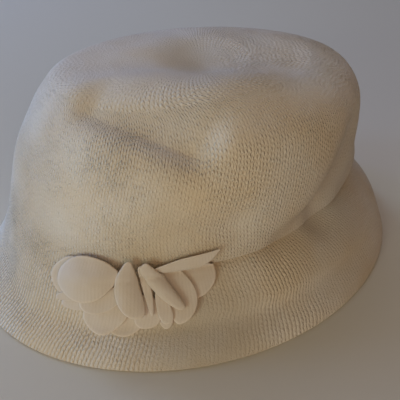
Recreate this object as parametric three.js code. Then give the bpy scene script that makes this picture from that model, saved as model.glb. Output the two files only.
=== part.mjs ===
// A cloche hat in felted cream wool knit, with a spray of felt petals sewn to the brim's root.
// Millimetres, +Z up. The hat rests on its brim edge at z = 0, and the origin is the centre of that edge.
// The wearer faces -Y, so +X is the wearer's left. The brim's long way runs front to back, along Y.
import * as THREE from "three";

// Driving dimensions
const HAT_LENGTH = 272; // brim edge, front to back
const HAT_WIDTH = 229; // brim edge, side to side
const KNIT_WALL = 2.4; // thickness of the felted knit
const EDGE_FLAT = 1.6; // width of the flat strip that the brim edge stands on
const FELT = 1.2; // thickness of the petals
const FIRST_LAYER = 0.6; // how far the lowest petals stand off the knit, mm
const LAYER_STEP = 1.6; // from one layer of petals to the next: their thickness and the space between, mm
const GATHER = 0.6; // share of their standing off that the petals keep where they are sewn on
const GATHER_HEIGHT = 12; // mm above the brim's root by which it is down to that share
const TRIM_TURN = -44; // where the petals are gathered, in degrees round the hat
const TRIM_RADIUS = 100; // mm from the hat's axis to the gathered petals, for turning mm into an angle
const TRIM_FACING = 32; // how far the petals' spray looks upwards, in degrees
const BRIM_DROP = 0.77; // mm that the brim falls for each mm down it
const ROOT = 3; // place of the brim's root in the table of sections
const ROOT_BRIDGE = 1.5; // how far the petals stand clear of the knit in the corner above the root, mm
const ROOT_BRIDGE_AT = -2; // mm down the brim
const ROOT_BRIDGE_WIDTH = 7; // half its breadth, mm
const PETAL_POINTS = 16; // round a petal's outline
const PETAL_RINGS = [0.4, 0.75, 1]; // mesh rings from a petal's middle to its outline
const COLUMNS = 60; // round the hat
const ROW_STEPS = 2; // mesh rows between two sections
const TUCK_ROWS = [2.75, 3.25]; // places of two more rows, either side of the tuck
const HEM = 0.25; // place where the inner face starts, clear of the strip that the hat stands on
const NORMAL_STEP = 0.004; // step for measuring the slope of the surface
const DEGREE = Math.PI / 180;

// The hat's sections, from the brim edge to the crown's middle. z is the height; long and wide are the
// section's length and width, as shares of the brim edge's; back and left move its centre, in mm; lean
// raises its left side, in mm for each mm from the middle.
const SECTIONS = [
  { name: "edge", z: 1.2, long: 1.0, wide: 1.0, back: 0, left: 0, lean: 0 },
  { name: "lip", z: 7, long: 0.975, wide: 0.97, back: 2, left: -1, lean: 0 },
  { name: "brim", z: 20, long: 0.905, wide: 0.885, back: 7, left: -3.5, lean: 0 },
  { name: "root", z: 35, long: 0.785, wide: 0.765, back: 4, left: -3.5, lean: 0 },
  { name: "waist", z: 45, long: 0.77, wide: 0.75, back: 2.5, left: -2, lean: 0 },
  { name: "low_wall", z: 58, long: 0.775, wide: 0.75, back: 1.5, left: 0, lean: 0.02 },
  { name: "wall", z: 78, long: 0.755, wide: 0.745, back: 3.5, left: 1.5, lean: 0.06 },
  { name: "high_wall", z: 96, long: 0.705, wide: 0.7, back: 5.5, left: 3, lean: 0.085 },
  { name: "shoulder", z: 109, long: 0.63, wide: 0.605, back: 4.5, left: 1, lean: 0.085 },
  { name: "rim", z: 117, long: 0.48, wide: 0.485, back: -4.5, left: -1, lean: 0.085 },
  { name: "top", z: 119.5, long: 0.3, wide: 0.3, back: -3, left: 3, lean: 0.085 },
  { name: "crown_inner", z: 119.5, long: 0.14, wide: 0.14, back: 1, left: 8, lean: 0.085 },
  { name: "middle", z: 119.5, long: 0.02, wide: 0.02, back: 2, left: 10, lean: 0.085 },
];

// Soft bands pushed in round the hat. height is the band's middle, turn and reach are the middle and
// half the length of its arc in degrees, width is half its height, and depth is how far it goes in.
const BANDS = [
  { name: "tuck", height: 35, turn: 14, reach: 64, depth: 2.8, width: 3 },
  { name: "waist", height: 47, turn: 90, reach: 110, depth: 1, width: 9 },
  { name: "front_fill", height: 34, turn: -105, reach: 80, depth: -10.5, width: 15 },
  { name: "back_fill", height: 47, turn: 78, reach: 42, depth: -5, width: 12 },
  { name: "front_edge", height: 0, turn: -133, reach: 47, depth: 6, width: 22 },
  { name: "brim_valley", height: 12.5, turn: -5, reach: 60, depth: 1.6, width: 5 },
];

// Dents, each along a line between two points of the surface, in mm to the left, back and up. depth is
// how far the surface goes in, at the line's start and end. low, high and ends are half the dent's
// breadth on the brim's side of the line, on the crown's side and past its ends.
const DENTS = [
  { name: "crown_hollow", from: [12, 4, 119], to: [36, 40, 118], depth: [8, 6], low: 26, high: 24, ends: 20 },
  { name: "crown_sag", from: [0, -44, 118], to: [12, 4, 119], depth: [1.5, 6], low: 18, high: 22, ends: 15 },
  {
    name: "crease", from: [31, -69, 115], to: [74, -38, 103], depth: [6.3, 9.6],
    low: 7.5, high: 19, ends: 9,
  },
  { name: "back_hollow", from: [77, 43, 46], to: [66, 62, 80], depth: [8.5, 5], low: 13, high: 13, ends: 12 },
  {
    name: "back_hollow_low", from: [83, 10, 39], to: [77, 43, 46], depth: [2.5, 8],
    low: 8, high: 10, ends: 8,
  },
  { name: "trim_hollow", from: [68, -62, 58], to: [84, -20, 62], depth: [2, 3], low: 11, high: 11, ends: 11 },
  { name: "front_brim", from: [-60, -88, 30], to: [0, -111, 26], depth: [4, 4], low: 16, high: 14, ends: 14 },
];
const DENT_BLEND = 3; // how firmly the deeper of two dents that meet wins over the other
const SIDE_BLEND = 4; // mm either side of a dent's line where one breadth turns into the other

// The petals, from the lowest up. Places on the brim are [mm round the hat towards the back, mm down the
// brim from its root]. layer counts up from the knit. wide is the breadth at the root, in the middle and
// at the tip, in mm. square is 2 for an oval outline and more for one with fuller corners. In mm too:
// bow bends the middle sideways, drop lowers the tip, dome raises the middle, tilt raises one side over
// the other, and cup raises the rim. A petal without a square is an oval, and the other columns left
// out are 0.
const PETALS = [
  { name: "left_under", layer: 0, root: [-12, -1], tip: [-34.2, 0.5], wide: [18, 22.5, 22], cup: 0.3 },
  { name: "tip_lower", layer: 0, root: [-10, 12.5], tip: [-27, 16.3], wide: [8, 8.5, 8] },
  { name: "low_back", layer: 0, root: [5, 10], tip: [2, 30.3], wide: [12, 17, 17], square: 2.4 },
  { name: "low_tip", layer: 0, root: [18, 15], tip: [22, 27.3], wide: [5, 6, 5], square: 2.4 },
  { name: "far_right", layer: 0, root: [22, -3], tip: [45, 3], wide: [16, 20, 17], square: 2.3, bow: 3 },
  { name: "tip_upper", layer: 1.1, root: [-11.2, 5.6], tip: [-29.5, 12.6], wide: [8, 7, 5], square: 2.5 },
  {
    name: "low_left", layer: 1, root: [1, 5], tip: [-8.5, 29.5], wide: [14, 19, 19],
    square: 2.3, bow: 1.5,
  },
  { name: "low_right", layer: 1, root: [11, 8], tip: [13.3, 26.5], wide: [7, 11, 11], square: 2.6 },
  {
    name: "right", layer: 1.2, root: [16.5, -3], tip: [27.5, 24.5], wide: [10, 15.5, 8],
    square: 3, bow: -4.2,
  },
  { name: "inner_left", layer: 2.1, root: [1.5, 5], tip: [-16.3, 15.3], wide: [10, 13, 14], square: 2.3 },
  { name: "low_middle", layer: 2.1, root: [16.8, 6], tip: [21.5, 23.5], wide: [4, 6, 5.5], square: 3 },
  { name: "strip", layer: 2.2, root: [9.4, -8.5], tip: [14.6, 18.5], wide: [5, 4, 2], square: 3 },
  { name: "point", layer: 2.65, root: [15.5, -5], tip: [48, -13.8], wide: [7, 10, 3], bow: 3.1 },
  {
    name: "left", layer: 3.3, root: [-0.2, -4.5], tip: [-28.3, -1.3], wide: [11, 25, 20],
    square: 2.6, bow: -1.9, drop: 1.2, dome: 2.5, tilt: -1.1,
  },
  {
    name: "fold", layer: 3.95, root: [10.8, -9.6], tip: [27.4, 15.9], wide: [7, 7.4, 5],
    square: 3.2, bow: 1.3, dome: 1.6, drop: 1.6,
  },
  {
    name: "middle", layer: 4.3, root: [4, -11.5], tip: [9, 19.5], wide: [6, 10.5, 10],
    square: 2.8, bow: 2.7, drop: 2, dome: 1.5, tilt: 1,
  },
];

// A smooth curve through evenly spaced values, at a place counted in values.
function through(values, place) {
  const last = values.length - 1;
  const i = Math.min(Math.max(Math.floor(place), 0), last - 1);
  const t = place - i;
  const at = (k) => values[Math.min(Math.max(k, 0), last)];
  const [a, b, c, d] = [at(i - 1), at(i), at(i + 1), at(i + 2)];
  return b + 0.5 * t * (c - a + t * (2 * a - 5 * b + 4 * c - d + t * (3 * (b - c) + d - a)));
}

const column = (name) => SECTIONS.map((section) => section[name]);
const HEIGHTS = column("z");
const LONGS = column("long").map((share) => (share * HAT_LENGTH) / 2);
const WIDES = column("wide").map((share) => (share * HAT_WIDTH) / 2);
const BACKS = column("back");
const LEFTS = column("left");
const LEANS = column("lean");

// A point of the undented surface. turn is the angle from +X, and place counts sections from the edge.
function smooth(place, turn) {
  const x = through(LEFTS, place) + through(WIDES, place) * Math.cos(turn);
  const y = through(BACKS, place) + through(LONGS, place) * Math.sin(turn);
  return new THREE.Vector3(x, y, through(HEIGHTS, place) + through(LEANS, place) * x);
}

// A surface's directions at a point: up its section line, and round the hat.
function alongSides(surface, place, turn) {
  const low = Math.max(place - NORMAL_STEP, 0);
  const high = Math.min(place + NORMAL_STEP, SECTIONS.length - 1);
  const up = surface(high, turn).sub(surface(low, turn));
  const round = surface(place, turn + NORMAL_STEP).sub(surface(place, turn - NORMAL_STEP));
  return { up, round };
}

function outward(surface, place, turn) {
  const { up, round } = alongSides(surface, place, turn);
  return round.cross(up).normalize();
}

const bell = (distance, width) => Math.exp(-((distance / width) ** 2));

function bandDepth(band, point, turn) {
  const away = THREE.MathUtils.euclideanModulo(turn - band.turn * DEGREE + Math.PI, 2 * Math.PI) - Math.PI;
  const along = Math.max(0, 1 - Math.abs(away) / (band.reach * DEGREE));
  return band.depth * THREE.MathUtils.smoothstep(along, 0, 0.5) * bell(point.z - band.height, band.width);
}

function dentDepth(dent, point, uphill) {
  const line = new THREE.Line3(new THREE.Vector3(...dent.from), new THREE.Vector3(...dent.to));
  const place = line.closestPointToPointParameter(point, false);
  const share = THREE.MathUtils.clamp(place, 0, 1);
  const across = point.clone().sub(line.at(place, new THREE.Vector3()));
  const higher = THREE.MathUtils.smoothstep(across.dot(uphill), -SIDE_BLEND, SIDE_BLEND);
  const width = THREE.MathUtils.lerp(dent.low, dent.high, higher);
  const past = (Math.abs(place - share) * line.distance()) / dent.ends;
  return THREE.MathUtils.lerp(...dent.depth, share) * bell(Math.hypot(across.length() / width, past), 1);
}

// A point of the outer surface, with the bands and dents pushed in.
function outer(place, turn) {
  const point = smooth(place, turn);
  const uphill = alongSides(smooth, place, turn).up.normalize();
  const out = outward(smooth, place, turn);
  const level = new THREE.Vector3(out.x, out.y, 0).normalize();
  let dented = 0;
  for (const dent of DENTS) dented += dentDepth(dent, point, uphill) ** DENT_BLEND;
  let banded = 0;
  for (const band of BANDS) banded += bandDepth(band, point, turn);
  return point.clone().addScaledVector(out, -(dented ** (1 / DENT_BLEND))).addScaledVector(level, -banded);
}

function inner(place, turn) {
  return outer(place, turn).addScaledVector(outward(smooth, place, turn), -KNIT_WALL);
}

// A closed body from rings of points, with one point closing each end.
function closedBody(rings, first, last) {
  const count = rings[0].length;
  const points = [first, ...rings.flat(), last];
  const faces = [];
  const at = (ring, k) => 1 + ring * count + (k % count);
  for (let k = 0; k < count; k++) {
    faces.push(0, at(0, k), at(0, k + 1));
    for (let ring = 0; ring < rings.length - 1; ring++) {
      faces.push(at(ring, k), at(ring + 1, k), at(ring + 1, k + 1));
      faces.push(at(ring, k), at(ring + 1, k + 1), at(ring, k + 1));
    }
    faces.push(at(rings.length - 1, k + 1), at(rings.length - 1, k), points.length - 1);
  }
  const geometry = new THREE.BufferGeometry().setFromPoints(points);
  geometry.setIndex(faces);
  return geometry;
}

function hatBody() {
  const turns = Array.from({ length: COLUMNS }, (_, k) => (2 * Math.PI * k) / COLUMNS);
  const top = SECTIONS.length - 1;
  const even = Array.from({ length: top * ROW_STEPS + 1 }, (_, k) => k / ROW_STEPS);
  const places = [...even, ...TUCK_ROWS].sort((a, b) => b - a);
  const outside = places.map((place) => turns.map((turn) => outer(place, turn)));
  const inside = places.map((place) => turns.map((turn) => inner(Math.max(place, HEM), turn))).reverse();
  const edge = outside.at(-1);
  const sole = (inset) => edge.map((p) => {
    const flat = new THREE.Vector3(p.x, p.y, 0);
    return flat.multiplyScalar(1 - inset / flat.length());
  });
  const soles = [sole(0.4), sole(0.4 + EDGE_FLAT)];
  const middle = (ring) => ring.reduce((a, p) => a.add(p), new THREE.Vector3()).divideScalar(COLUMNS);
  return closedBody([...outside, ...soles, ...inside], middle(outside[0]), middle(inside.at(-1)));
}

// The place of a height on the brim or the lower crown.
function placeAtHeight(z) {
  const above = HEIGHTS.findIndex((height) => height > z);
  return above - (HEIGHTS[above] - z) / (HEIGHTS[above] - HEIGHTS[above - 1]);
}

// A point standing off the knit by lift mm. round and down are the place on the brim, in mm.
function onTrim(round, down, lift) {
  const turn = TRIM_TURN * DEGREE + round / TRIM_RADIUS;
  const drop = down > 0 ? down * BRIM_DROP : down;
  const knitPoint = outer(placeAtHeight(HEIGHTS[ROOT] - drop), turn);
  const facing = Math.atan2(Math.sin(turn) / HAT_LENGTH, Math.cos(turn) / HAT_WIDTH);
  const level = Math.cos(TRIM_FACING * DEGREE);
  const rise = Math.sin(TRIM_FACING * DEGREE);
  const aside = new THREE.Vector3(Math.cos(facing) * level, Math.sin(facing) * level, rise);
  const bridge = ROOT_BRIDGE * bell(down - ROOT_BRIDGE_AT, ROOT_BRIDGE_WIDTH);
  return knitPoint.addScaledVector(aside, lift + bridge);
}

// A petal as a curved plate. In its plan, along runs from -1 at the root to 1 at the tip, across from
// -1 to 1 over its breadth, and size from 0 in its middle to 1 on its outline.
function petalGeometry(petal) {
  const { layer, square = 2, bow = 0, drop = 0, dome = 0, tilt = 0, cup = 0 } = petal;
  const [atRoot, halfway, atTip] = petal.wide;
  const root = new THREE.Vector2(...petal.root);
  const tip = new THREE.Vector2(...petal.tip);
  const aside = tip.clone().sub(root).normalize().rotateAround(new THREE.Vector2(), Math.PI / 2);
  const plan = (size, angle, extra) => {
    const [toTip, aslant] = [Math.cos(angle), Math.sin(angle)];
    const reach = (Math.abs(toTip) ** square + Math.abs(aslant) ** square) ** (-1 / square);
    const along = size * reach * toTip;
    const across = size * reach * aslant;
    const taper = ((atTip - atRoot) / 2) * along;
    const swell = ((atTip + atRoot) / 2 - halfway) * along ** 2;
    const spread = (across * (halfway + taper + swell)) / 2 + bow * (1 - along ** 2);
    const spot = root.clone().lerp(tip, (1 + along) / 2).addScaledVector(aside, spread);
    const level = layer * LAYER_STEP - (drop * (1 + along)) / 2;
    const raised = dome * (1 - size ** 2) + cup * size ** 4 + tilt * across;
    const gather = 1 - (1 - GATHER) * THREE.MathUtils.smoothstep(-spot.y, 0, GATHER_HEIGHT);
    return onTrim(spot.x, spot.y, FIRST_LAYER + (level + raised) * gather + extra);
  };
  const ring = (size, extra) => Array.from({ length: PETAL_POINTS }, (_, k) => {
    return plan(size, (-2 * Math.PI * k) / PETAL_POINTS, extra);
  });
  const face = PETAL_RINGS.map((size) => ring(size, FELT));
  const back = PETAL_RINGS.map((size) => ring(size, 0)).reverse();
  return closedBody([...face, ...back], plan(0, 0, FELT), plan(0, 0, 0));
}

const knit = new THREE.MeshStandardMaterial({ color: "#d9ccb0", roughness: 0.95, metalness: 0 });
const felt = new THREE.MeshStandardMaterial({ color: "#ddd0b4", roughness: 0.9, metalness: 0 });

function part(name, geometry, material) {
  const mesh = new THREE.Mesh(geometry, material);
  mesh.name = name;
  return mesh;
}

const hat = new THREE.Group();
hat.add(part("hat_body", hatBody(), knit));
for (const petal of PETALS) hat.add(part(`petal_${petal.name}`, petalGeometry(petal), felt));

export default hat;
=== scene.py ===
"""A cloche hat in felted cream wool knit with a spray of felt petals, resting on a pale floor.

The tables and the surface they describe are those of the hat's solid model. The wearer faces -Y and +X
is the wearer's left. Lengths are in millimetres unless a comment says otherwise, and MM turns them to
metres where a mesh, a finish or the camera takes them.
"""
import math

import bpy
import numpy as np
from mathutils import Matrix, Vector


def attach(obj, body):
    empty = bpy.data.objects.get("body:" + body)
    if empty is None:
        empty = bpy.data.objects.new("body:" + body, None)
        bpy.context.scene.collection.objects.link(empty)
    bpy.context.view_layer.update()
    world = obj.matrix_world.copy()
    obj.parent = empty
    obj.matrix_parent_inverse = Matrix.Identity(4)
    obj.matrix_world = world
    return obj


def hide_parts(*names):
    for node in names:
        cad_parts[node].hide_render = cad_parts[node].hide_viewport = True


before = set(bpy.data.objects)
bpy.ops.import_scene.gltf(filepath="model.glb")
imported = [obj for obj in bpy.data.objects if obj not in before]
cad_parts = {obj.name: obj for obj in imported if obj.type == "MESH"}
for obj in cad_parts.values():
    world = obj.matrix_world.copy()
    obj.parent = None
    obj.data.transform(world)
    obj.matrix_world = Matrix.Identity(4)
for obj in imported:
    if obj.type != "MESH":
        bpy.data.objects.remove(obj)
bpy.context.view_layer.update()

MM = 0.001

# The hat's main sizes
HAT_LENGTH = 272  # brim edge, front to back
HAT_WIDTH = 229  # brim edge, side to side
KNIT_WALL = 2.4  # thickness of the felted knit
FELT = 1.2  # thickness of the petals
FIRST_LAYER = 0.6  # how far the lowest petals stand off the knit
LAYER_STEP = 1.6  # the felt's thickness and the space above it
GATHER = 0.6  # share of their standing off that the petals keep where they are sewn on
GATHER_HEIGHT = 12  # mm above the brim's root by which it is down to that share
TRIM_TURN = -44  # where the petals are gathered, in degrees round the hat
TRIM_RADIUS = 100  # from the hat's axis to the gathered petals, for turning mm into an angle
TRIM_FACING = 32  # how far the petals' spray looks upwards, in degrees
BRIM_DROP = 0.77  # mm that the brim falls for each mm down it
ROOT = 3  # place of the brim's root in the table of sections
ROOT_BRIDGE = 1.5  # how far the petals stand clear of the knit in the corner above the root
ROOT_BRIDGE_AT = -2  # mm down the brim
ROOT_BRIDGE_WIDTH = 7  # half its breadth
DENT_BLEND = 3  # how firmly the deeper of two dents that meet wins over the other
SIDE_BLEND = 4  # mm either side of a dent's line where one breadth turns into the other
NORMAL_STEP = 0.004  # step for measuring the slope of the surface

# The hat's sections, from the brim edge to the crown's middle: height, length and width as shares of
# the brim edge's, the centre's shift back and left, and how far the left side is raised per mm.
SECTIONS = [
    dict(name="edge", z=1.2, long=1.0, wide=1.0, back=0, left=0, lean=0),
    dict(name="lip", z=7, long=0.975, wide=0.97, back=2, left=-1, lean=0),
    dict(name="brim", z=20, long=0.905, wide=0.885, back=7, left=-3.5, lean=0),
    dict(name="root", z=35, long=0.785, wide=0.765, back=4, left=-3.5, lean=0),
    dict(name="waist", z=45, long=0.77, wide=0.75, back=2.5, left=-2, lean=0),
    dict(name="low_wall", z=58, long=0.775, wide=0.75, back=1.5, left=0, lean=0.02),
    dict(name="wall", z=78, long=0.755, wide=0.745, back=3.5, left=1.5, lean=0.06),
    dict(name="high_wall", z=96, long=0.705, wide=0.7, back=5.5, left=3, lean=0.085),
    dict(name="shoulder", z=109, long=0.63, wide=0.605, back=4.5, left=1, lean=0.085),
    dict(name="rim", z=117, long=0.48, wide=0.485, back=-4.5, left=-1, lean=0.085),
    dict(name="top", z=119.5, long=0.3, wide=0.3, back=-3, left=3, lean=0.085),
    dict(name="crown_inner", z=119.5, long=0.14, wide=0.14, back=1, left=8, lean=0.085),
    dict(name="middle", z=119.5, long=0.02, wide=0.02, back=2, left=10, lean=0.085),
]

# Soft bands pushed in round the hat: height of the middle, middle and half length of the arc in
# degrees, how far in, and half the band's breadth.
BANDS = [
    dict(name="tuck", height=35, turn=14, reach=64, depth=2.8, width=3),
    dict(name="waist", height=47, turn=90, reach=110, depth=1, width=9),
    dict(name="front_fill", height=34, turn=-105, reach=80, depth=-10.5, width=15),
    dict(name="back_fill", height=47, turn=78, reach=42, depth=-5, width=12),
    dict(name="front_edge", height=0, turn=-133, reach=47, depth=6, width=22),
    dict(name="brim_valley", height=12.5, turn=-5, reach=60, depth=1.6, width=5),
]

# Dents along a line between two points of the surface: depth at both ends, half the breadth on the
# brim's side, on the crown's side and past the ends.
DENTS = [
    dict(name="crown_hollow", start=(12, 4, 119), end=(36, 40, 118), depth=(8, 6), low=26, high=24, ends=20),
    dict(name="crown_sag", start=(0, -44, 118), end=(12, 4, 119), depth=(1.5, 6), low=18, high=22, ends=15),
    dict(name="crease", start=(31, -69, 115), end=(74, -38, 103), depth=(6.3, 9.6), low=7.5, high=19, ends=9),
    dict(name="back_hollow", start=(77, 43, 46), end=(66, 62, 80), depth=(8.5, 5), low=13, high=13, ends=12),
    dict(
        name="back_hollow_low", start=(83, 10, 39), end=(77, 43, 46), depth=(2.5, 8),
        low=8, high=10, ends=8,
    ),
    dict(name="trim_hollow", start=(68, -62, 58), end=(84, -20, 62), depth=(2, 3), low=11, high=11, ends=11),
    dict(name="front_brim", start=(-60, -88, 30), end=(0, -111, 26), depth=(4, 4), low=16, high=14, ends=14),
]

# Creases too fine for the solid model, as bands.
FINE_BANDS = [
    dict(name="tuck_crease", height=35.4, turn=14, reach=66, depth=2.6, width=1.0),
    dict(name="deep_valley", height=12.5, turn=-24, reach=75, depth=2.6, width=5),
]

# The petals, from the lowest up. Places on the brim are (mm round the hat towards the back, mm down the
# brim from its root). layer counts from the knit. wide is the breadth at the root, in the middle and at
# the tip; square is 2 for an oval and more for fuller corners; bow bends the petal sideways. drop is how
# much nearer the knit the tip is, dome raises the middle, tilt one side, and cup the rim.
PETALS = [
    dict(name="left_under", layer=0, root=(-12, -1), tip=(-34.2, 0.5), wide=(18, 22.5, 22), cup=0.3),
    dict(name="tip_lower", layer=0, root=(-10, 12.5), tip=(-27, 16.3), wide=(8, 8.5, 8)),
    dict(name="low_back", layer=0, root=(5, 10), tip=(2, 30.3), wide=(12, 17, 17), square=2.4),
    dict(name="low_tip", layer=0, root=(18, 15), tip=(22, 27.3), wide=(5, 6, 5), square=2.4),
    dict(name="far_right", layer=0, root=(22, -3), tip=(45, 3), wide=(16, 20, 17), square=2.3, bow=3),
    dict(name="tip_upper", layer=1.1, root=(-11.2, 5.6), tip=(-29.5, 12.6), wide=(8, 7, 5), square=2.5),
    dict(name="low_left", layer=1, root=(1, 5), tip=(-8.5, 29.5), wide=(14, 19, 19), square=2.3, bow=1.5),
    dict(name="low_right", layer=1, root=(11, 8), tip=(13.3, 26.5), wide=(7, 11, 11), square=2.6),
    dict(name="right", layer=1.2, root=(16.5, -3), tip=(27.5, 24.5), wide=(10, 15.5, 8), square=3, bow=-4.2),
    dict(name="inner_left", layer=2.1, root=(1.5, 5), tip=(-16.3, 15.3), wide=(10, 13, 14), square=2.3),
    dict(name="low_middle", layer=2.1, root=(16.8, 6), tip=(21.5, 23.5), wide=(4, 6, 5.5), square=3),
    dict(name="strip", layer=2.2, root=(9.4, -8.5), tip=(14.6, 18.5), wide=(5, 4, 2), square=3),
    dict(name="point", layer=2.65, root=(15.5, -5), tip=(48, -13.8), wide=(7, 10, 3), bow=3.1),
    dict(
        name="left", layer=3.3, root=(-0.2, -4.5), tip=(-28.3, -1.3), wide=(11, 25, 20),
        square=2.6, bow=-1.9, drop=1.2, dome=2.5, tilt=-1.1,
    ),
    dict(
        name="middle", layer=4.3, root=(4, -11.5), tip=(9, 19.5), wide=(6, 10.5, 10),
        square=2.8, bow=2.7, drop=2, dome=1.5, tilt=1,
    ),
    dict(
        name="fold", layer=3.95, root=(10.8, -9.6), tip=(27.4, 15.9), wide=(7, 7.4, 5),
        square=3.2, bow=1.3, dome=1.6, drop=1.6,
    ),
]

# Meshes
COLUMNS = 360  # mesh columns round the hat
STEPS = 12  # mesh rows between two sections, outside
INSIDE_STEPS = 5  # the same, inside
TUCK_ROWS = (2.8, 3.3, 24)  # more rows close to the tuck: places between which they lie, and their number
RISING = 9  # sections from the edge to the shoulder, where the height still rises steadily
# The hem's rounded edge, from the outside in: mm in from the edge, and height.
HEM_PROFILE = ((0.12, 0.55), (0.4, 0.12), (0.9, 0), (1.6, 0), (2.1, 0.2))
HEM = 0.25  # place where the inner face starts
PETAL_POINTS = 64  # round a petal's outline
PETAL_RINGS = 14  # from a petal's middle to where its cut edge rounds off
CUT_ROUNDING = 0.6  # mm over which a cut edge rounds off
CUT_STEPS = 4  # rings over that rounding

# The knit and the felt
WALES = 352  # ribs round the hat: about 2.2 mm each at the brim's edge and 1.7 mm on the crown
RIB = 1.7  # mm from one rib to the next on the crown
COURSE = 2.7  # mm from one row of stitches to the next
BROKEN_FROM = (24, 42)  # heights over which the brim's unbroken ribs turn into the crown's stitches
# Painted shade: how much darker the wool is painted in a gap between stitches than on a stitch, for red,
# green and blue.
GAP_PAINTED_SHADE = (0.26, 0.3, 0.38)
FELT_RIB = 1.5  # mm from one faint rib of the petals' felt to the next
# At the front the knit is pulled aside: how much its ribs lean there, and how far round the hat, in
# degrees, and up it, in mm, this reaches.
PULLED = dict(turn=-85, reach=35, lean=0.24, height=45)
# Places where the knit has worn more than elsewhere, or less, and where painted light or painted shade lies
# on the
# wool, fading out over reach mm: relief is the share of the stitches' relief that is left, and the last
# number is painted light where it is above 1 and painted shade where it is below 1.
WEAR_AND_PAINTED_SHADING = [
    dict(name="grasped_top", place=(-2, -32, 118), reach=64, relief=0.2, painted_light_and_shade=1.02),
    dict(name="hollow", place=(-2, 4, 115), reach=32, relief=0.6, painted_light_and_shade=0.84),
    dict(name="crown_front", place=(50, -76, 88), reach=44, relief=1.35, painted_light_and_shade=1.08),
    dict(name="crown_side", place=(82, -26, 88), reach=34, relief=1.1, painted_light_and_shade=1.12),
    dict(name="front_waist", place=(40, -88, 66), reach=36, relief=0.5, painted_light_and_shade=1.03),
    dict(name="over_petals", place=(84, -58, 66), reach=38, relief=0.4, painted_light_and_shade=1.02),
    dict(name="crown_behind", place=(68, 60, 60), reach=48, relief=0.5, painted_light_and_shade=0.77),
    dict(name="brim_front", place=(6, -120, 26), reach=58, relief=1.9, painted_light_and_shade=0.98),
    dict(name="brim_below_petals", place=(100, -46, 9), reach=52, relief=0.3, painted_light_and_shade=0.78),
    dict(name="brim_behind", place=(92, 50, 22), reach=60, relief=0.3, painted_light_and_shade=0.88),
]


def through(values, place):
    """A smooth curve through evenly spaced values, at places counted in values."""
    values = np.asarray(values, float)
    last = len(values) - 1
    i = np.clip(np.floor(place).astype(int), 0, last - 1)
    t = place - i
    a, b, c, d = (values[np.clip(i + k, 0, last)] for k in (-1, 0, 1, 2))
    return b + 0.5 * t * (c - a + t * (2 * a - 5 * b + 4 * c - d + t * (3 * (b - c) + d - a)))


def column(name):
    return np.array([section[name] for section in SECTIONS], float)


HEIGHTS = column("z")
LONGS = column("long") * HAT_LENGTH / 2
WIDES = column("wide") * HAT_WIDTH / 2
BACKS = column("back")
LEFTS = column("left")
LEANS = column("lean")


def smooth(place, turn):
    """Points of the undented surface. turn is the angle from +X; place counts sections from the edge."""
    x = through(LEFTS, place) + through(WIDES, place) * np.cos(turn)
    y = through(BACKS, place) + through(LONGS, place) * np.sin(turn)
    return np.stack([x, y, through(HEIGHTS, place) + through(LEANS, place) * x], -1)


def unit(v):
    return v / np.linalg.norm(v, axis=-1, keepdims=True)


def up_the_section(place, turn):
    low = np.maximum(place - NORMAL_STEP, 0)
    high = np.minimum(place + NORMAL_STEP, len(SECTIONS) - 1)
    return smooth(high, turn) - smooth(low, turn)


def outward(place, turn):
    ahead = smooth(place, turn + NORMAL_STEP) - smooth(place, turn - NORMAL_STEP)
    return unit(np.cross(ahead, up_the_section(place, turn)))


def bell(distance, width):
    return np.exp(-((distance / width) ** 2))


def ease(value, low, high):
    t = np.clip((value - low) / (high - low), 0, 1)
    return t * t * (3 - 2 * t)


def band_depth(band, point, turn):
    away = np.mod(turn - math.radians(band["turn"]) + math.pi, 2 * math.pi) - math.pi
    along = np.maximum(0, 1 - np.abs(away) / math.radians(band["reach"]))
    return band["depth"] * ease(along, 0, 0.5) * bell(point[..., 2] - band["height"], band["width"])


def dent_depth(dent, point, uphill):
    start, end = np.array(dent["start"], float), np.array(dent["end"], float)
    line = end - start
    place = (point - start) @ line / (line @ line)
    share = np.clip(place, 0, 1)
    across = point - start - place[..., None] * line
    higher = ease((across * uphill).sum(-1), -SIDE_BLEND, SIDE_BLEND)
    width = dent["low"] + (dent["high"] - dent["low"]) * higher
    past = np.abs(place - share) * np.linalg.norm(line) / dent["ends"]
    depth = dent["depth"][0] + (dent["depth"][1] - dent["depth"][0]) * share
    return depth * np.exp(-((np.linalg.norm(across, axis=-1) / width) ** 2) - past**2)


def outer(place, turn):
    """Points of the outside, with the bands and dents pushed in."""
    place, turn = np.broadcast_arrays(np.asarray(place, float), np.asarray(turn, float))
    point = smooth(place, turn)
    uphill = unit(up_the_section(place, turn))
    out = outward(place, turn)
    level = unit(out * [1, 1, 0])
    dented = sum(dent_depth(dent, point, uphill) ** DENT_BLEND for dent in DENTS) ** (1 / DENT_BLEND)
    banded = sum(band_depth(band, point, turn) for band in BANDS + FINE_BANDS)
    return point - out * dented[..., None] - level * banded[..., None]


def inner(place, turn):
    return outer(place, turn) - outward(place, turn) * KNIT_WALL


def mesh_object(name, points, faces, marks):
    """A smooth-shaded mesh from points in mm. marks gives two numbers per face corner, for a pattern."""
    mesh = bpy.data.meshes.new(name)
    mesh.from_pydata((np.asarray(points) * MM).tolist(), [], faces)
    layer = mesh.uv_layers.new(name="marks")
    layer.data.foreach_set("uv", np.asarray(marks, np.float32).ravel())
    mesh.polygons.foreach_set("use_smooth", [True] * len(mesh.polygons))
    made = bpy.data.objects.new(name, mesh)
    bpy.context.scene.collection.objects.link(made)
    return made


def closed_faces(rings, count):
    """Faces of a closed body: quads between rings of count points each, then a fan over each end. The
    middles of the two ends are the two points after the rings."""
    row, k = np.meshgrid(np.arange(rings - 1) * count, np.arange(count), indexing="ij")
    after = (k + 1) % count
    quads = np.stack([row + k, row + count + k, row + count + after, row + after], -1)
    first, last = rings * count, rings * count + 1
    base = first - count
    k, after = k[0].tolist(), after[0].tolist()
    fans = [[first, a, b] for a, b in zip(k, after)] + [[last, base + b, base + a] for a, b in zip(k, after)]
    return quads.reshape(-1, 4).tolist() + fans


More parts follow.
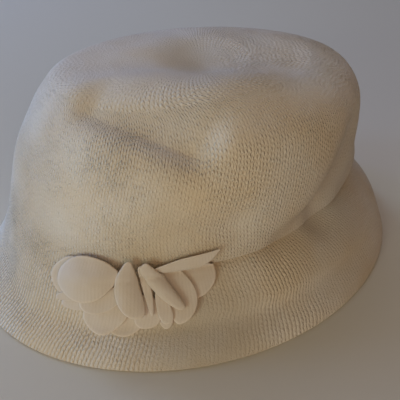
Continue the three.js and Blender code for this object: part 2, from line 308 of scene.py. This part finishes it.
def knit_marks(rows, edge_row):
    """For each face corner of the hat, its place on the knit: ribs round the hat, and rows of stitches up
    from the brim's edge."""
    length = np.linalg.norm(np.diff(rows, axis=0), axis=-1)
    length = np.concatenate([np.zeros((1, COLUMNS)), np.cumsum(length, axis=0)])
    length = length[edge_row] - length
    # Towards the crown's middle every other rib ends, as often as the ribs would get too thin.
    around = np.linalg.norm(rows - np.roll(rows, 1, axis=1), axis=-1).sum(1)
    thinned = 2 ** np.maximum(0, np.round(np.log2(WALES * RIB / around)))[:, None]
    share = np.arange(COLUMNS + 1) / COLUMNS
    away = 360 * (share - 1) - PULLED["turn"]
    pull = PULLED["lean"] * PULLED["height"] * bell(away, PULLED["reach"]) * WALES / around[edge_row]
    risen = np.tanh(np.maximum(length, 0) / PULLED["height"])
    row, k = np.meshgrid(np.arange(len(rows) - 1), np.arange(COLUMNS), indexing="ij")
    corners = []
    for below, beside in ((0, 0), (1, 0), (1, 1), (0, 1)):
        at = row + below, (k + beside) % COLUMNS
        wale = (share[k + beside] * WALES - pull[k + beside] * risen[at]) / thinned[:-1]
        corners.append(np.stack([wale, length[at] / COURSE], -1))
    marks = [np.stack(corners, 2).reshape(-1, 2)]
    # The fans over the two ends. Their middles are one row of stitches further on.
    wale = share * WALES / thinned[0]
    near, far = wale[:-1], wale[1:]
    for end, further, wales in ((0, 1, (near, near, far)), (-1, -1, (near, far, near))):
        course = length[end] / COURSE
        courses = (course + further, course, course)
        marks.append(np.stack([np.stack(corner, -1) for corner in zip(wales, courses)], 1).reshape(-1, 2))
    return np.concatenate(marks)


def make_hat():
    """The knitted crown and brim: outside from the crown's middle to the edge, round the hem, and inside."""
    turns = np.arange(COLUMNS) * 2 * math.pi / COLUMNS
    top = len(SECTIONS) - 1
    even = np.linspace(top, 0, top * STEPS + 1)
    low, high, more = TUCK_ROWS
    down = np.concatenate([even[even > high], np.linspace(high, low, more), even[even < low]])
    outside = outer(down[:, None], turns[None, :])
    out = outside[-1] * [1, 1, 0]
    radius = np.linalg.norm(out, axis=-1, keepdims=True)
    hem = np.array([out * (1 - inset / radius) + [0, 0, height] for inset, height in HEM_PROFILE])
    up_again = np.linspace(HEM, top, top * INSIDE_STEPS)
    inside = inner(up_again[:, None], turns[None, :])
    rows = np.concatenate([outside, hem, inside])
    points = np.concatenate([rows.reshape(-1, 3), [rows[0].mean(0)], [rows[-1].mean(0)]])
    return mesh_object("hat_knit", points, closed_faces(len(rows), COLUMNS), knit_marks(rows, len(down) - 1))


def place_at_height(z):
    return np.interp(z, HEIGHTS[:RISING], np.arange(RISING))


def on_trim(around, down, lift):
    """Points standing off the knit by lift. around and down are the place on the brim, in mm."""
    turn = math.radians(TRIM_TURN) + around / TRIM_RADIUS
    drop = np.where(down > 0, down * BRIM_DROP, down)
    knit = outer(place_at_height(HEIGHTS[ROOT] - drop), turn)
    facing = np.arctan2(np.sin(turn) / HAT_LENGTH, np.cos(turn) / HAT_WIDTH)
    up = math.radians(TRIM_FACING)
    level = np.cos(up)
    rise = np.full_like(facing, np.sin(up))
    aside = np.stack([np.cos(facing) * level, np.sin(facing) * level, rise], -1)
    bridge = ROOT_BRIDGE * bell(down - ROOT_BRIDGE_AT, ROOT_BRIDGE_WIDTH)
    return knit + aside * (lift + bridge)[..., None]


def make_petal(petal):
    """A petal as a curved plate of felt with rounded cut edges. In its plan, along and across run from
    -1 to 1 over its length and its breadth, and size from 0 in its middle to 1 on its outline."""
    root, tip = np.array(petal["root"], float), np.array(petal["tip"], float)
    at_root, halfway, at_tip = petal["wide"]
    square = petal.get("square", 2)
    towards = (tip - root) / np.linalg.norm(tip - root)
    aside = np.array([-towards[1], towards[0]])
    flat = 1 - 2 * CUT_ROUNDING / halfway
    bend = np.linspace(0, math.pi / 2, CUT_STEPS + 1)[1:]
    face = np.concatenate([np.linspace(0, flat, PETAL_RINGS)[1:], flat + (1 - flat) * np.sin(bend)])
    height = np.concatenate([np.ones(PETAL_RINGS - 1), np.cos(bend)])
    size = np.concatenate([face, face[-2::-1]])
    height = np.concatenate([height, -height[-2::-1]])
    angle = -np.arange(PETAL_POINTS) * 2 * math.pi / PETAL_POINTS
    reach = (np.abs(np.cos(angle)) ** square + np.abs(np.sin(angle)) ** square) ** (-1 / square)
    along = np.append(np.outer(size, reach * np.cos(angle)), [0, 0])
    across = np.append(np.outer(size, reach * np.sin(angle)), [0, 0])
    height = np.append(np.repeat(height, PETAL_POINTS), [1, -1])
    size = np.append(np.repeat(size, PETAL_POINTS), [0, 0])
    wide = halfway + (at_tip - at_root) / 2 * along + ((at_tip + at_root) / 2 - halfway) * along**2
    spread = across * wide / 2 + petal.get("bow", 0) * (1 - along**2)
    spot = root + (1 + along)[:, None] / 2 * (tip - root) + spread[:, None] * aside
    level = FIRST_LAYER + petal["layer"] * LAYER_STEP - petal.get("drop", 0) * (1 + along) / 2
    level = level + petal.get("dome", 0) * (1 - size**2) + petal.get("cup", 0) * size**4
    level = level + petal.get("tilt", 0) * across
    gather = 1 - (1 - GATHER) * ease(-spot[:, 1], 0, GATHER_HEIGHT)
    level = FIRST_LAYER + (level - FIRST_LAYER) * gather
    points = on_trim(spot[:, 0], spot[:, 1], level + (1 + height) * FELT / 2)
    faces = closed_faces(2 * len(face) - 1, PETAL_POINTS)
    marks = np.stack([spot[:, 0], size], -1)
    made = mesh_object(f"felt_petal_{petal['name']}", points, faces, marks[np.concatenate(faces)])
    # The flat cut: breadth, length and area inside the outline.
    outline = spot[size == 1][:PETAL_POINTS]
    after = np.roll(outline, -1, axis=0)
    area = abs((outline[:, 0] * after[:, 1] - outline[:, 1] * after[:, 0]).sum()) / 2
    return made, [np.ptp(outline @ way) for way in (aside, towards)], area


def linear(colour):
    """A shader colour from a hex one."""
    channels = [int(colour[i : i + 2], 16) / 255 for i in (1, 3, 5)]
    return [c / 12.92 if c <= 0.04045 else ((c + 0.055) / 1.055) ** 2.4 for c in channels] + [1.0]


def add(tree, kind, inputs=None, out=0, **settings):
    """Adds a node with its settings, and a link or a value for each named or numbered input. Gives the
    output that out names or numbers."""
    made = tree.nodes.new("ShaderNode" + kind)
    for name, value in settings.items():
        setattr(made, name, value)
    for name, value in (inputs or {}).items():
        if isinstance(value, bpy.types.NodeSocket):
            tree.links.new(value, made.inputs[name])
        else:
            made.inputs[name].default_value = value
    return made.outputs[out] if made.outputs else None


def new_finish(name):
    finish = bpy.data.materials.new(name)
    finish.use_nodes = True
    tree = finish.node_tree
    tree.nodes.clear()
    return finish, tree


def stitch_height(tree, place):
    """The knit's stitches, from 0 in the gaps to 1 on the proudest."""
    marks = add(tree, "UVMap", out="UV", uv_map="marks")
    # The ribs wander a little, by about a seventh of a rib every 9 mm.
    wander = add(tree, "TexNoise", {"Vector": place, "Scale": 1 / (9 * MM), "Detail": 2.0}, out="Color")
    shift = add(tree, "VectorMath", {0: wander, 1: (0.5, 0.5, 0.5)}, operation="SUBTRACT")
    shift = add(tree, "VectorMath", {0: shift, "Scale": 1.2}, operation="SCALE")
    moved = add(tree, "VectorMath", {0: marks, 1: shift}, operation="ADD")
    across = add(tree, "SeparateXYZ", {0: moved}, out="X")
    along = add(tree, "SeparateXYZ", {0: moved}, out="Y")
    # side is 0 along a rib's middle and 1 in the gap between two ribs.
    side = add(tree, "Math", {0: across, 1: 0.5}, operation="PINGPONG")
    side = add(tree, "Math", {0: side, 1: 2.0}, operation="MULTIPLY")
    square = add(tree, "Math", {0: side, 1: 2.0}, operation="POWER")
    rib = add(tree, "Math", {0: 1.0, 1: square}, operation="SUBTRACT")
    # Felting has shifted each rib's stitches along it by its own amount, so the rows no longer line up.
    wale = add(tree, "Math", {0: across, 1: 0.5}, operation="ADD")
    wale = add(tree, "Math", {0: wale}, operation="FLOOR")
    slid = add(tree, "TexWhiteNoise", {"W": wale}, out="Value", noise_dimensions="1D")
    course = add(tree, "Math", {0: along, 1: slid}, operation="ADD")
    # Each stitch bulges along its rib, on two legs that slant by 0.4 of a row.
    legs = add(tree, "Math", {0: side, 1: 0.4, 2: course}, operation="MULTIPLY_ADD")
    loop = add(tree, "Math", {0: legs, 1: 0.5}, operation="PINGPONG")
    bulge = add(tree, "MapRange", {"Value": loop, "From Max": 0.5}, interpolation_type="SMOOTHSTEP")
    # Some stitches stand out more than others: the flattest 0.3 as much as the proudest.
    row = add(tree, "Math", {0: course}, operation="FLOOR")
    cell = add(tree, "CombineXYZ", {0: wale, 1: row})
    chance = add(tree, "TexWhiteNoise", {"Vector": cell}, out="Value", noise_dimensions="2D")
    proud = add(tree, "MapRange", {"Value": chance, "To Min": 0.3, "To Max": 1.0})
    bulge = add(tree, "Math", {0: bulge, 1: proud}, operation="MULTIPLY")
    # On the brim, the stretched ribs run on and their stitches hardly show.
    height = add(tree, "SeparateXYZ", {0: place}, out="Z")
    low, high = (z * MM for z in BROKEN_FROM)
    broken = {"Value": height, "From Min": low, "From Max": high, "To Min": 0.6, "To Max": 0.9}
    bulge = add(tree, "Mix", {"Factor": add(tree, "MapRange", broken), "A": 1.0, "B": bulge})
    return add(tree, "Math", {0: rib, 1: bulge}, operation="MULTIPLY")


def wear_and_painted_shading(tree, place):
    """How much of the stitches' relief is left, and the painted light and shade that make the wool lighter or
    darker, both 1 where it is as new and unpainted.
    """
    # Felting hides the stitches in patches about 25 mm wide.
    worn = add(tree, "TexNoise", {"Vector": place, "Scale": 1 / (25 * MM), "Detail": 3.0}, out="Fac")
    patches = {"Value": worn, "From Min": 0.35, "From Max": 0.6, "To Min": 0.55, "To Max": 1.0}
    shown = add(tree, "MapRange", patches)
    painted_light_and_shade = 1.0
    for spot in WEAR_AND_PAINTED_SHADING:
        middle = Vector(spot["place"]) * MM
        away = add(tree, "VectorMath", {0: place, 1: middle}, out="Value", operation="DISTANCE")
        reach = {"Value": away, "From Min": spot["reach"] * MM / 5, "From Max": spot["reach"] * MM}
        kept = add(tree, "MapRange", {**reach, "To Min": spot["relief"]}, interpolation_type="SMOOTHSTEP")
        shown = add(tree, "Math", {0: shown, 1: kept}, operation="MULTIPLY")
        # Painted light where this place's number is above 1, painted shade where it is below 1.
        light = add(tree, "MapRange", {**reach, "To Min": spot["painted_light_and_shade"]}, interpolation_type="SMOOTHSTEP")
        painted_light_and_shade = add(tree, "Math", {0: painted_light_and_shade, 1: light}, operation="MULTIPLY")
    return shown, painted_light_and_shade


def felted_wool_knit():
    """Cream wool, machine-knitted and lightly felted: matt, with soft ribs of stitches under a haze of
    fibre."""
    finish, tree = new_finish("felted_wool_knit")
    place = add(tree, "TexCoord", out="Object")
    shown, painted_light_and_shade = wear_and_painted_shading(tree, place)
    stitch = add(tree, "Math", {0: stitch_height(tree, place), 1: shown}, operation="MULTIPLY")
    # Fibre haze, drawn at 0.7 mm because real wool fibre, 0.02 mm, is too fine to show.
    haze = add(tree, "TexNoise", {"Vector": place, "Scale": 1 / (0.7 * MM), "Detail": 2.0}, out="Fac")
    relief = add(tree, "Math", {0: haze, 1: 0.5, 2: stitch}, operation="MULTIPLY_ADD")
    # Between a gap and a stitch's top there are 0.8 mm.
    bump = add(tree, "Bump", {"Strength": 1.0, "Distance": 0.8 * MM, "Height": relief})
    # Wool yellows unevenly: paler and yellower patches about 45 mm wide.
    aged = add(tree, "TexNoise", {"Vector": place, "Scale": 1 / (45 * MM), "Detail": 3.0}, out="Fac")
    aged = add(tree, "MapRange", {"Value": aged, "From Min": 0.35, "From Max": 0.65})
    wools = {"Factor": aged, "A": linear("#e3d9c6"), "B": linear("#dccaab")}
    colour = add(tree, "Mix", wools, out="Result", data_type="RGBA")
    # Painted shade makes the gaps between stitches darker and yellower, and painted light makes the stitches'
    # tops as much paler. A stitch's mean height is 0.4.
    mean = add(tree, "Math", {0: shown, 1: 0.4}, operation="MULTIPLY")
    depth = add(tree, "Math", {0: stitch, 1: mean}, operation="SUBTRACT")
    painted_shading = add(tree, "VectorMath", {0: GAP_PAINTED_SHADE, "Scale": depth}, operation="SCALE")
    painted_shading = add(tree, "VectorMath", {0: painted_shading, 1: (1.0, 1.0, 1.0)}, operation="ADD")
    # Then the painted light and shade of the listed places.
    painted_shading = add(tree, "VectorMath", {0: painted_shading, "Scale": painted_light_and_shade}, operation="SCALE")
    shade = add(tree, "VectorMath", {0: colour, 1: painted_shading}, operation="MULTIPLY")
    wool = add(tree, "BsdfPrincipled", {
        "Base Color": shade, "Roughness": 0.95, "IOR": 1.45, "Specular IOR Level": 0.2,
        "Sheen Weight": 0.25, "Sheen Roughness": 0.6, "Normal": bump,
    })
    add(tree, "OutputMaterial", {"Surface": wool})
    return finish


def pressed_wool_felt():
    """Cream wool felt, pressed smooth and cut: matt and even, with short fibres and a painted highlight along
    its cut edges.
    """
    finish, tree = new_finish("pressed_wool_felt")
    place = add(tree, "TexCoord", out="Object")
    marks = add(tree, "UVMap", out="UV", uv_map="marks")
    # Fibre clumps of pressed felt are about 0.8 mm.
    fibres = add(tree, "TexNoise", {"Vector": place, "Scale": 1 / (0.8 * MM), "Detail": 4.0}, out="Fac")
    # The felt is pressed knit, and its ribs still show faintly.
    across = add(tree, "SeparateXYZ", {0: marks}, out="X")
    side = add(tree, "Math", {0: across, 1: FELT_RIB / 2}, operation="PINGPONG")
    rib = add(tree, "MapRange", {"Value": side, "From Max": FELT_RIB / 2}, interpolation_type="SMOOTHSTEP")
    relief = add(tree, "Math", {0: rib, 1: 0.5, 2: fibres}, operation="MULTIPLY_ADD")
    bump = add(tree, "Bump", {"Strength": 0.5, "Distance": 0.18 * MM, "Height": relief})
    # Clouds of the two creams, 9 mm wide, as in felt blended from two lots of wool.
    clouds = add(tree, "TexNoise", {"Vector": place, "Scale": 1 / (9 * MM), "Detail": 2.0}, out="Fac")
    wools = {"Factor": clouds, "A": linear("#dfd4c4"), "B": linear("#d5c5ac")}
    colour = add(tree, "Mix", wools, out="Result", data_type="RGBA")
    # Size is 1 on a petal's outline, where a painted highlight makes the felt of the cut edge paler.
    size = add(tree, "SeparateXYZ", {0: marks}, out="Y")
    cut = {"Value": size, "From Min": 0.86, "From Max": 0.98, "To Min": 1.0, "To Max": 1.12}
    shade = add(tree, "VectorMath", {0: colour, "Scale": add(tree, "MapRange", cut)}, operation="SCALE")
    felt = add(tree, "BsdfPrincipled", {
        "Base Color": shade, "Roughness": 0.8, "IOR": 1.45, "Specular IOR Level": 0.3,
        "Sheen Weight": 0.15, "Sheen Roughness": 0.5, "Normal": bump,
    })
    add(tree, "OutputMaterial", {"Surface": felt})
    return finish


def painted_floor():
    """A plain pale surface with a smooth matt paint."""
    finish, tree = new_finish("painted_floor")
    paint = {"Base Color": linear("#dad4c2"), "Roughness": 0.95, "Specular IOR Level": 0.2}
    add(tree, "OutputMaterial", {"Surface": add(tree, "BsdfPrincipled", paint)})
    return finish


knit = felted_wool_knit()
felt = pressed_wool_felt()

hat = make_hat()
hat.data.materials.append(knit)
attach(hat, "root")
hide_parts("hat_body")

for petal in PETALS:
    piece, cut, area = make_petal(petal)
    piece.data.materials.append(felt)
    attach(piece, "root")
    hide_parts(f"petal_{petal['name']}")

# Floor, in metres: a hair below the hat's edge
FLOOR_RADIUS = 1.1
FLOOR_POINTS = 96
FLOOR_HEIGHT = -0.0002
turns = np.arange(FLOOR_POINTS) * 2 * math.pi / FLOOR_POINTS
level = np.full(FLOOR_POINTS, FLOOR_HEIGHT)
rim = np.stack([np.cos(turns) * FLOOR_RADIUS, np.sin(turns) * FLOOR_RADIUS, level], -1)
floor_mesh = bpy.data.meshes.new("floor")
floor_mesh.from_pydata(rim.tolist(), [], [tuple(range(FLOOR_POINTS))])
floor = bpy.data.objects.new("floor", floor_mesh)
floor.data.materials.append(painted_floor())
bpy.context.scene.collection.objects.link(floor)

# Camera
CAMERA_AZIMUTH = 59.4  # degrees from the hat's front towards the wearer's left
CAMERA_ELEVATION = 35.7
CAMERA_TARGET = (49.3, -20.1, 56.4)
CAMERA_DISTANCE = 297  # from the target
azimuth, elevation = math.radians(CAMERA_AZIMUTH), math.radians(CAMERA_ELEVATION)
RIGHT = Vector((math.cos(azimuth), math.sin(azimuth), 0))
NEAR = Vector((math.sin(azimuth), -math.cos(azimuth), 0))
UP = Vector((0, 0, 1))
back = NEAR * math.cos(elevation) + UP * math.sin(elevation)
lens = bpy.data.cameras.new("camera")
lens.lens = 50
lens.sensor_width = 36
lens.clip_start = 0.01
camera = bpy.data.objects.new("camera", lens)
camera.location = (Vector(CAMERA_TARGET) + back * CAMERA_DISTANCE) * MM
camera.rotation_euler = back.to_track_quat("Z", "Y").to_euler()
bpy.context.scene.collection.objects.link(camera)
bpy.context.scene.camera = camera

# Light. Places are given from the hat, in metres: to the picture's right, towards the camera, and up.
LIT = UP * 0.05  # the point that the lights face
LIGHTS = [
    dict(name="ceiling_far", right=0, near=-1, up=1.4, size=1.2, watts=4.3, colour="#e5e4ff"),
    dict(name="ceiling", right=-0.8, near=-0.3, up=1.6, size=1.2, watts=2.6, colour="#fff5f9"),
    dict(name="room", right=0.2, near=1.5, up=0.8, size=1.2, watts=6.9, colour="#ffdaba"),
    dict(name="window_low", right=-1.6, near=0, up=0.3, size=0.5, watts=9.1, colour="#94bfff"),
    dict(name="window_low_far", right=-1.3, near=-0.9, up=0.35, size=0.5, watts=5.0, colour="#758dff"),
    dict(name="window", right=-0.8, near=-0.8, up=1.2, size=0.4, watts=4.2, colour="#badbff"),
    dict(name="wall_near", right=-0.9, near=1.4, up=0.35, size=0.6, watts=6.2, colour="#f2fff5"),
]
for light in LIGHTS:
    lamp = bpy.data.lights.new(light["name"], "AREA")
    lamp.size = light["size"]
    lamp.energy = light["watts"]
    lamp.color = linear(light["colour"])[:3]
    holder = bpy.data.objects.new(light["name"], lamp)
    holder.location = RIGHT * light["right"] + NEAR * light["near"] + UP * light["up"]
    holder.rotation_euler = (holder.location - LIT).to_track_quat("Z", "Y").to_euler()
    bpy.context.scene.collection.objects.link(holder)

world = bpy.data.worlds.new("room_light")
world.use_nodes = True
ambient = world.node_tree.nodes["Background"].inputs
ambient["Color"].default_value = linear("#ffffff")
ambient["Strength"].default_value = 0.03
bpy.context.scene.world = world
bpy.context.scene.view_settings.view_transform = "Standard"
